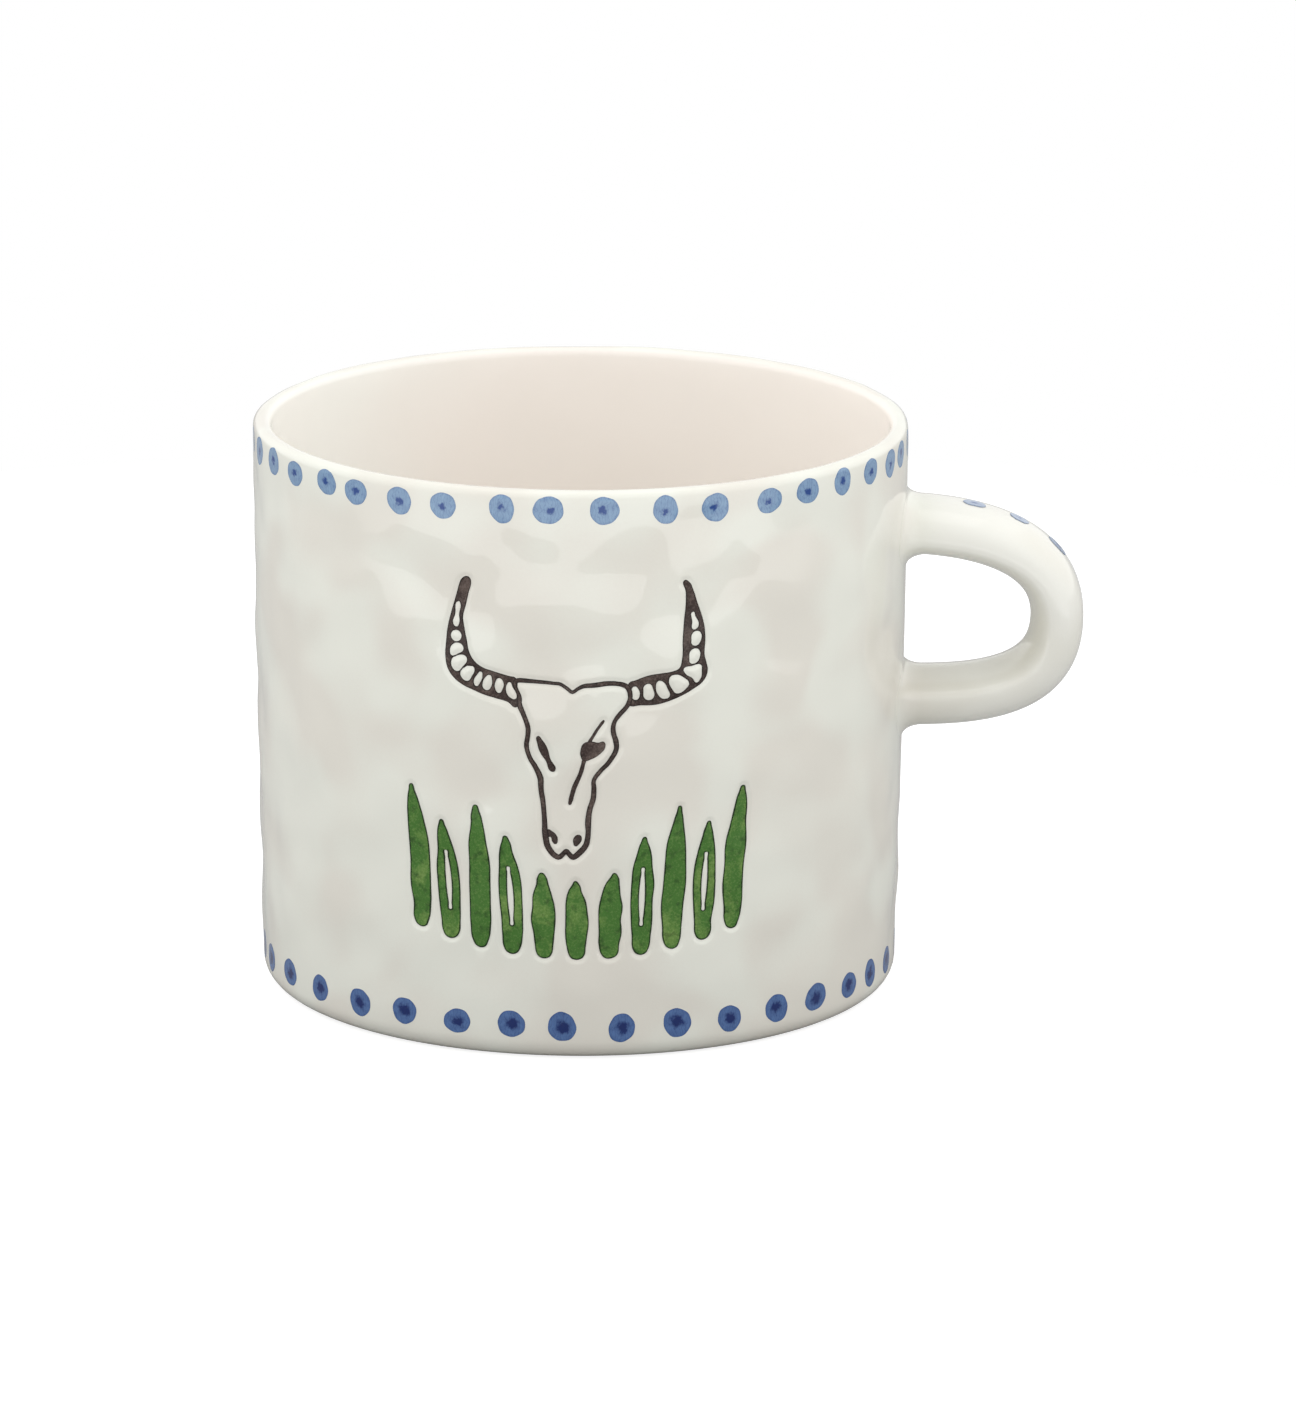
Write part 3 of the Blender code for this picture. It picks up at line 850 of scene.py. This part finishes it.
def makeBlue(name, glazeGroup, wash, heart, heartSize):
    # a brush dot: a thin wash, a dark heart where the brush let go, and streaks
    material, tree, shader = newTree(name)
    spot = addNode(tree, "ShaderNodeUVMap", uv_map="dot").outputs["UV"]
    seed = addNode(tree, "ShaderNodeAttribute", attribute_name="seed").outputs["Fac"]
    seeded = addNode(tree, "ShaderNodeCombineXYZ", {"X": seed, "Y": mathOf(tree, "MULTIPLY", seed, 3.7)})
    shifted = vectorOf(tree, "ADD", spot, seeded.outputs[0])
    wobble = addNode(tree, "ShaderNodeTexNoise", {"Vector": shifted, "Scale": 2.6, "Detail": 3.0})
    bend = vectorOf(tree, "SUBTRACT", wobble.outputs["Color"], (0.5, 0.5, 0.5))
    bent = vectorOf(tree, "ADD", spot, vectorOf(tree, "SCALE", bend, scale=0.75))
    reach = vectorOf(tree, "LENGTH", vectorOf(tree, "MULTIPLY", bent, (1, 1, 0)))
    heartMask = rangeOf(tree, reach, heartSize, heartSize * 0.25, smooth=True)
    flow = rangeOf(tree, noiseOf(tree, shifted, 2.2, 4.0, 0.6, 0.4), 0.35, 0.7, 0.0, 0.35)
    wave = addNode(tree, "ShaderNodeTexWave", {
        "Vector": shifted, "Scale": 1.3, "Distortion": 9.0, "Detail": 2.0, "Detail Scale": 1.6})
    streaks = rangeOf(tree, wave.outputs["Fac"], 0.8, 1.0, 0.0, 0.3, smooth=True)
    rimLine = rangeOf(tree, vectorOf(tree, "LENGTH", spot), 0.82, 1.0, 0.0, 0.22, smooth=True)
    marks = mathOf(tree, "ADD", mathOf(tree, "ADD", flow, streaks), rimLine)
    amount = mathOf(tree, "ADD", mathOf(tree, "MULTIPLY", marks, 0.8), heartMask, clamp=True)
    glaze = addGroup(tree, glazeGroup, {"Vector": placeOf(tree)}).outputs
    dress(tree, shader, mixColour(tree, amount, wash, heart), glaze["Roughness"], glaze["Height"],
          whiteGlaze["ripple"])
    return material


def makeClay():
    material, tree, shader = newTree("bareClay")
    place = placeOf(tree)
    sand = noiseOf(tree, place, 1800.0, 4.0, 0.7)
    tone = mixColour(tree, rangeOf(tree, sand, 0.35, 0.65), (0.62, 0.55, 0.46), (0.74, 0.69, 0.60))
    specks = rangeOf(tree, noiseOf(tree, place, 1100.0, 1.0), 0.68, 0.74)
    tone = mixColour(tree, specks, tone, (0.32, 0.24, 0.17))
    dress(tree, shader, tone, rangeOf(tree, sand, 0.3, 0.7, 0.7, 0.9), sand, 0.05 * mm)
    return material


glazeGroup = makeGlazeGroup()
inkGroup = makeInkGroup()
cupGlaze = makeCupGlaze(glazeGroup)
handleGlaze = makeHandleGlaze(glazeGroup)
brownInk = makeInk("brownInk", inkGroup, (0.010, 0.006, 0.005, 1), (0.046, 0.031, 0.027, 1),
                   (0.125, 0.093, 0.080, 1), 0.8, 260.0)
greenInk = makeInk("greenInk", inkGroup, (0.010, 0.026, 0.006, 1), (0.060, 0.165, 0.030, 1),
                   (0.190, 0.310, 0.080, 1), 0.75, 170.0)
rimBlue = makeBlue("rimBlue", glazeGroup, (0.228, 0.352, 0.510), (0.016, 0.058, 0.230), 0.42)
handleBlue = makeBlue("handleBlue", glazeGroup, (0.340, 0.420, 0.540), (0.090, 0.150, 0.330), 0.5)
footBlue = makeBlue("footBlue", glazeGroup, (0.085, 0.165, 0.370), (0.003, 0.018, 0.120), 0.66)
bareClay = makeClay()
print("finishes mixed")


plainWall = turnCup()  # a wall with no grooves, for the drawing and the dots to lie on
dimpleWall(plainWall)

drawing = []
for nodeName, shape, rim, lift in (
    ("skull_outline", drawStroke("skullOutline", skullOutline, closed=True), 0.16, 0.02),
    ("left_horn", drawShape("leftHorn", [leftHorn["outline"], *leftHorn["cells"]]), 0.15, 0.0),
    ("right_horn", drawShape("rightHorn", [rightHorn["outline"], *rightHorn["cells"]]), 0.15, 0.0),
    ("left_eye", drawShape("leftEye", [leftEye]), 0.12, 0.0),
    ("right_eye", drawShape("rightEye", [rightEye]), 0.12, 0.02),
    ("brow_line", drawStroke("browLine", browLine), 0.08, 0.0),
    ("nose_line", drawStroke("noseLine", noseLine), 0.1, 0.0),
    ("left_nostril", drawShape("leftNostril", [leftNostril]), 0.1, 0.0),
    ("right_nostril", drawShape("rightNostril", [rightNostril]), 0.1, 0.0),
):
    layOnWall(shape, plainWall, rim * mm)
    drawing.append((shape.name, nodeName, shape, lift * mm, brownInk, "brown_glaze"))
for index in range(leaves["count"]):
    shape = drawLeaf(index)
    layOnWall(shape, plainWall, leaves["inset"])
    drawing.append((shape.name, f"leaf_{index + 1:02d}", shape, 0.0, greenInk, "green_glaze"))
print("drawing laid out:", len(drawing), "shapes")

guides = [entry[2] for entry in drawing]

cupWall = turnCup()
refineNear(cupWall, guides)
dimpleWall(cupWall)
engrave(cupWall, guides)
pick(cupWall)
bpy.ops.object.shade_smooth()
settle(cupWall, "cupWall", cupGlaze, "white_glaze", "cup_body")
for name, nodeName, shape, lift, ink, slotName in drawing:
    fillGroove(shape, plainWall, lift)
    settle(shape, name, ink, slotName, nodeName)


footRing = {
    "sides": 180,
    "gap": 0.05 * mm,  # between the bare clay and the glaze on either side of it
    "depth": 0.5 * mm,
    "middle": 0.26 * mm,
    "edge": 0.12 * mm,
}


def makeFootRing():
    # the unglazed ring that the mug stands on
    outer = wallRadius(cup["outerCorner"]) - cup["outerCorner"]
    inner = outer - cup["ringWidth"]
    bpy.ops.mesh.primitive_cylinder_add(
        vertices=footRing["sides"], radius=outer - footRing["gap"], depth=footRing["depth"],
        location=(axisX, 0, footRing["middle"]))
    ring = bpy.context.object
    pick(ring)
    bpy.ops.object.transform_apply(location=True)
    startEditing(ring, "FACE")
    selectFrom(ring.data.polygons, lambda face: abs(face.normal.z) > 0.9)
    bpy.ops.mesh.inset(thickness=outer - inner - 2 * footRing["gap"], use_individual=True)
    bpy.ops.mesh.bridge_edge_loops()
    faceOutwards()
    stopEditing()
    soften = ring.modifiers.new("soften", "BEVEL")
    soften.width = footRing["edge"]
    soften.segments = 2
    soften.limit_method = "ANGLE"
    applyAll(ring)
    pick(ring)
    bpy.ops.object.shade_smooth_by_angle(angle=math.radians(40))
    return ring


settle(makeFootRing(), "footRing", bareClay, "bare_clay")


handle = {
    "upperRoot": 67.9 * mm,
    "bow": 54.2 * mm,
    "lowerRoot": 42.3 * mm,
    "rootStart": 44.0 * mm,
    "rootPull": 5.0 * mm,
    "upperPull": 7.6 * mm,  # each arm starts to turn this far short of the bow
    "lowerPull": 7.1 * mm,
    "lowerDrop": 1.0 * mm,
    "bowUp": 8.3 * mm,  # the bow runs nearly straight this far up and down
    "bowDown": 9.2 * mm,
    "halfThickness": 3.85 * mm,
    "halfWidth": 7.7 * mm,
    "ridge": -0.3,  # the strap is widest nearer its inner side, from -1 to 1 through its thickness
    "outerPower": 2.4,  # 2 is an ellipse; more is squarer
    "innerPower": 1.75,
    "sectionPoints": 48,
    "filletUp": 1.7 * mm,
    "filletSide": 2.8 * mm,
    "filletLength": 2.8 * mm,
    "filletSteps": 8,
    "rootSwell": 1.07,
}


def sweepStrap():
    section = bpy.data.curves.new("strapSection", "CURVE")
    section.dimensions = "2D"
    ring = section.splines.new("POLY")
    ring.points.add(handle["sectionPoints"] - 1)
    ridge = handle["ridge"]
    for index, point in enumerate(ring.points):
        angle = 2 * math.pi * index / handle["sectionPoints"]
        across, through = math.cos(angle), math.sin(angle)
        power = handle["outerPower"] if through > 0 else handle["innerPower"]
        reach = 1 - ridge if through > 0 else 1 + ridge
        wide = math.copysign(abs(across) ** (2 / power), across)
        thick = ridge + reach * math.copysign(abs(through) ** (2 / power), through)
        point.co = (handle["halfWidth"] * wide, handle["halfThickness"] * thick, 0, 1)
    ring.use_cyclic_u = True
    sectionObject = addObject("strapSection", section)

    bow = handleHigh.x - axisX - handle["halfThickness"]
    start = handle["rootStart"]
    route = bpy.data.curves.new("strapRoute", "CURVE")
    route.dimensions = "3D"
    route.resolution_u = 40
    route.twist_mode = "MINIMUM"
    route.bevel_mode = "OBJECT"
    route.bevel_object = sectionObject
    line = route.splines.new("BEZIER")
    line.bezier_points.add(2)
    inWall = start - handle["rootPull"]
    upper, middle, lower = handle["upperRoot"], handle["bow"], handle["lowerRoot"]
    for point, place, before, after, swell in zip(
        line.bezier_points,
        ((start, upper), (bow, middle), (start, lower)),
        ((inWall, upper), (bow, middle + handle["bowUp"]),
         (bow - handle["lowerPull"], lower - handle["lowerDrop"])),
        ((bow - handle["upperPull"], upper), (bow, middle - handle["bowDown"]), (inWall, lower)),
        (handle["rootSwell"], 1.0, handle["rootSwell"]),
    ):
        point.co = (axisX + place[0], 0, place[1])
        point.handle_left = (axisX + before[0], 0, before[1])
        point.handle_right = (axisX + after[0], 0, after[1])
        point.radius = swell
    strap = toMesh(addObject("strap", route))
    bpy.data.objects.remove(sectionObject)
    return strap


def flareRoots(strap):
    # each root opens in a quarter round, like a fillet smoothed by a finger
    cutX = axisX + rimRadius + handle["filletLength"]
    thick, wide = handle["halfThickness"] * handle["rootSwell"], handle["halfWidth"] * handle["rootSwell"]
    startEditing(strap)
    selectAll()
    bpy.ops.mesh.remove_doubles(threshold=0.01 * mm)
    selectAll()
    bpy.ops.mesh.bisect(plane_co=(cutX, 0, 0), plane_no=(1, 0, 0), clear_inner=True, threshold=0.001 * mm)
    for rootHeight in (handle["upperRoot"], handle["lowerRoot"]):
        selectFrom(strap.data.vertices, lambda vertex: vertex.co.x < cutX + 0.01 * mm
                   and abs(vertex.co.z - rootHeight) < handle["halfThickness"] * 2)
        pulled, high, broad = 0.0, thick, wide
        for step in range(1, handle["filletSteps"] + 1):
            turn = math.pi / 2 * step / handle["filletSteps"]
            pull = handle["filletLength"] * math.sin(turn)
            newHigh = thick + handle["filletUp"] * (1 - math.cos(turn))
            newBroad = wide + handle["filletSide"] * (1 - math.cos(turn))
            bpy.ops.mesh.extrude_region_move(TRANSFORM_OT_translate={"value": (pulled - pull, 0, 0)})
            bpy.ops.transform.resize(
                value=(1, newBroad / broad, newHigh / high), center_override=(cutX, 0, rootHeight))
            pulled, high, broad = pull, newHigh, newBroad
    stopEditing()


def followWall(strap):
    # nearer the wall, the roots take on its round, and their ends go a little way into it
    wallX = axisX + rimRadius
    reach = handle["filletLength"] + 6 * mm
    for vertex in strap.data.vertices:
        place = vertex.co
        if place.x < wallX + reach:
            nearness = 1 - ease(place.x, wallX, wallX + reach)
            dip = rimRadius - math.sqrt(wallRadius(place.z) ** 2 - place.y ** 2)
            place.x -= dip * nearness
    startEditing(strap)
    for rootHeight in (handle["upperRoot"], handle["lowerRoot"]):
        selectFrom(strap.data.vertices, lambda vertex: abs(pastWall(vertex.co)) < 0.03 * mm
                   and abs(vertex.co.z - rootHeight) < handle["halfThickness"] * 2.5)
        bpy.ops.mesh.extrude_region_move(TRANSFORM_OT_translate={"value": (-0.8 * mm, 0, 0)})
        bpy.ops.mesh.edge_face_add()
    faceOutwards()
    stopEditing()
    pick(strap)
    bpy.ops.object.shade_smooth_by_angle(angle=math.radians(50))


strap = sweepStrap()
flareRoots(strap)
followWall(strap)
settle(strap, "strap", handleGlaze, "white_glaze", "handle", "upper_handle_joint", "lower_handle_joint")


rimDots = {
    "count": 40, "firstAngle": -76.5, "height": 80.7 * mm, "radius": 2.05 * mm, "seed": 5,
    # how far each dot at the front strays from an even row, in degrees
    "strays": [0.5, 0, 0, 0.5, -1, -0.5, -1, 0.5, -0.5, 0, 1.5, 1.5, 3, 2.5, 2.5, 2.5, 2, 0],
}
footDots = {
    "count": 36, "firstAngle": -72.5, "height": 5.0 * mm, "radius": 2.05 * mm, "seed": 11,
    "strays": [-2, -1.5, -0.5, 0.5, 0.5, 1, 1, 0, 0.5, 0.5, 0.5, 0.5, 0, 0, -1.5, -2],
}
handleDots = {
    "radius": 1.75 * mm, "seed": 23,
    "spots": [(57.7 * mm, 72.0 * mm), (64.6 * mm, 70.0 * mm), (70.2 * mm, 65.2 * mm)],
}
brush = {
    "lift": 0.02 * mm,  # how far the paint stands above the glaze
    "stretch": 0.07,
    "shrink": 0.06,
    "grow": 0.05,
    "aside": 0.18,  # how far a dot's heart strays from its middle, as a share of the radius
    "along": 0.14,
    "seeds": 40,
    "lobes": ((2, 0.035), (3, 0.022), (7, 0.012)),  # swellings round the edge, and how far each stands out
    "sides": 36,
    "rings": 7,
}


def modelDot(radius):
    # a fine disc with rings, so that it can lie on any curve
    bpy.ops.mesh.primitive_circle_add(
        vertices=brush["sides"], radius=radius, fill_type="NGON", location=(0, 0, 0))
    dot = bpy.context.object
    startEditing(dot, "FACE")
    selectAll()
    for _ in range(brush["rings"] - 1):
        bpy.ops.mesh.inset(thickness=radius / brush["rings"], use_boundary=True)
    bpy.ops.mesh.poke()
    stopEditing()
    uvLayer = dot.data.uv_layers.new(name="dot")
    for loop in dot.data.loops:
        place = dot.data.vertices[loop.vertex_index].co
        uvLayer.data[loop.index].uv = (place.x / radius, place.y / radius)
    return dot


def placeDot(master, toPlace, rng):
    # a copy with its own uneven outline, its own turn and a seed for its brush marks
    dot = copyOf(master)
    phases = [rng.uniform(0, 2 * math.pi) for _ in brush["lobes"]]
    stretch = 1 + rng.uniform(-brush["stretch"], brush["stretch"])
    size = 1 + rng.uniform(-brush["shrink"], brush["grow"])
    shift = [rng.uniform(-stray, stray) for stray in (brush["aside"], brush["along"])]
    seed = rng.uniform(0, brush["seeds"])
    seeds = dot.data.attributes.new("seed", "FLOAT", "POINT")
    for vertex in dot.data.vertices:
        place = vertex.co
        angle = math.atan2(place.y, place.x)
        edge = 1
        for (lobes, swell), phase in zip(brush["lobes"], phases):
            edge += swell * math.cos(lobes * angle + phase)
        vertex.co = toPlace(place.x * edge * size * stretch, place.y * edge * size / stretch)
        seeds.data[vertex.index].value = seed
    for item in dot.data.uv_layers["dot"].data:
        fade = 1 - min(math.hypot(*item.uv), 1)
        item.uv = (item.uv[0] + shift[0] * fade, item.uv[1] + shift[1] * fade)
    return dot


def gatherDots(dots, under, name, material):
    row = joinAll(dots)
    snap = row.modifiers.new("snap", "SHRINKWRAP")
    snap.target = under
    snap.wrap_method = "NEAREST_SURFACEPOINT"
    snap.wrap_mode = "ABOVE_SURFACE"
    snap.offset = brush["lift"]
    body = row.modifiers.new("body", "SOLIDIFY")
    body.thickness = 5 * brush["lift"]
    body.offset = -1
    applyAll(row)
    pick(row)
    bpy.ops.object.shade_smooth_by_angle(angle=math.radians(40))
    takeNormals(row, under)
    return settle(row, name, material, "blue_paint")


def dotsOnWall(values, name, material):
    rng = random.Random(values["seed"])
    master = modelDot(values["radius"])
    dots = []
    for index in range(values["count"]):
        angle = values["firstAngle"] + 360 / values["count"] * index
        if index < len(values["strays"]):
            angle += values["strays"][index]
        else:
            angle += rng.uniform(-1.2, 1.2)
        height = values["height"] + rng.uniform(-0.25, 0.25) * mm
        across = math.radians(angle) * wallRadius(height)
        dots.append(placeDot(
            master, lambda x, y: onWall(across + x, height + y, 0.1 * mm), rng))
    bpy.data.objects.remove(master)
    return gatherDots(dots, plainWall, name, material)


def dotsOnHandle(values, name, material):
    rng = random.Random(values["seed"])
    master = modelDot(values["radius"])
    middle = Vector((axisX + 58 * mm, 0, 56 * mm))
    dots = []
    for reach, height in values["spots"]:
        centre = Vector((axisX + reach, 0, height))
        away = (centre - middle).normalized()
        along = Vector((away.z, 0, -away.x))
        spot = centre + away * 0.3 * mm
        dots.append(placeDot(
            master, lambda x, y: spot + Vector((0, 1, 0)) * x + along * y, rng))
    bpy.data.objects.remove(master)
    return gatherDots(dots, strap, name, material)


dotsOnWall(rimDots, "rimDots", rimBlue)
dotsOnWall(footDots, "footDots", footBlue)
dotsOnHandle(handleDots, "handleDots", handleBlue)
bpy.data.objects.remove(plainWall)


studio = {
    "floorRadius": 0.33,
    "floorColour": (0.40, 0.40, 0.40, 1),
    "floorLift": 0.8,  # lights the floor for the camera alone, so that it looks white
    "dome": 0.95,
    "sides": 1.42,
    "front": 1.7,  # the surround below the horizon, in front of the mug
    "back": 0.5,
    "frontTurn": (-0.6, 0.2),  # where the surround goes from front to back, as a share of depth
    "sideTurn": (0.1, 0.9),
    "horizon": (-0.02, 0.05),
    "overhead": 1.0,
    "overheadPlace": (0, 0.1, 0.9),
    "overheadSize": 0.7,
}
view = {
    "distance": 1.247,
    "elevation": 14.98,
    "roll": 0.31,
    "lens": 219.0,
    "aside": 9.95 * mm,  # how far the camera looks past the cup's axis, towards the handle
    "below": 0.94 * mm,
}


def makeFloor():
    bpy.ops.mesh.primitive_circle_add(
        vertices=160, radius=studio["floorRadius"], fill_type="NGON", location=(axisX, 0, -0.02 * mm))
    floor = bpy.context.object
    floor.name = "floor"
    material, tree, shader = newTree("paleFloor")
    shader.inputs["Base Color"].default_value = studio["floorColour"]
    shader.inputs["Roughness"].default_value = 0.9
    shader.inputs["Specular IOR Level"].default_value = 0.0
    shader.inputs["Emission Color"].default_value = (1, 1, 1, 1)
    seen = addNode(tree, "ShaderNodeLightPath").outputs["Is Camera Ray"]
    tree.links.new(mathOf(tree, "MULTIPLY", seen, studio["floorLift"]), shader.inputs["Emission Strength"])
    floor.data.materials.append(material)


def makeOverhead():
    bpy.ops.object.light_add(type="AREA", location=studio["overheadPlace"])
    light = bpy.context.object
    light.name = "overhead"
    light.data.size = studio["overheadSize"]
    light.data.energy = studio["overhead"]
    light.rotation_euler = Vector(studio["overheadPlace"]).to_track_quat("Z", "Y").to_euler()


def makeWorld():
    # what the mug is lit by: a soft dome, and a brighter surround below it, beyond the floor
    world = bpy.data.worlds.new("studio")
    bpy.context.scene.world = world
    world.use_nodes = True
    tree = world.node_tree
    background = tree.nodes["Background"]
    direction = addNode(tree, "ShaderNodeTexCoord").outputs["Generated"]
    aim = addNode(tree, "ShaderNodeSeparateXYZ", {0: direction}).outputs
    around = rangeOf(tree, aim["Y"], *studio["frontTurn"], studio["front"], studio["back"], smooth=True)
    sideways = mathOf(tree, "ABSOLUTE", aim["X"])
    dome = rangeOf(tree, sideways, *studio["sideTurn"], studio["dome"], studio["sides"], smooth=True)
    lit = rangeOf(tree, aim["Z"], *studio["horizon"], around, dome)
    seen = addNode(tree, "ShaderNodeLightPath").outputs["Is Camera Ray"]
    strength = addNode(tree, "ShaderNodeMix", {0: seen, 2: lit, 3: 1.0}, data_type="FLOAT").outputs[0]
    tree.links.new(strength, background.inputs["Strength"])
    background.inputs["Color"].default_value = (1, 1, 1, 1)


def makeCamera():
    tilt = math.radians(view["elevation"])
    forward = Vector((0, math.cos(tilt), -math.sin(tilt)))
    upward = Vector((0, math.sin(tilt), math.cos(tilt)))
    aim = Vector((axisX + view["aside"], 0, cupHeight / 2)) - upward * view["below"]
    bpy.ops.object.camera_add()
    camera = bpy.context.object
    camera.name = "camera"
    camera.data.lens = view["lens"]
    camera.data.sensor_width = 36
    camera.data.clip_start = 0.05
    camera.matrix_world = (Matrix.Translation(aim - forward * view["distance"])
                           @ Matrix.Rotation(math.pi / 2 - tilt, 4, "X")
                           @ Matrix.Rotation(math.radians(view["roll"]), 4, "Z"))
    bpy.context.scene.camera = camera


makeFloor()
makeWorld()
makeOverhead()
makeCamera()
bpy.context.scene.view_settings.view_transform = "Standard"

deselectAll()
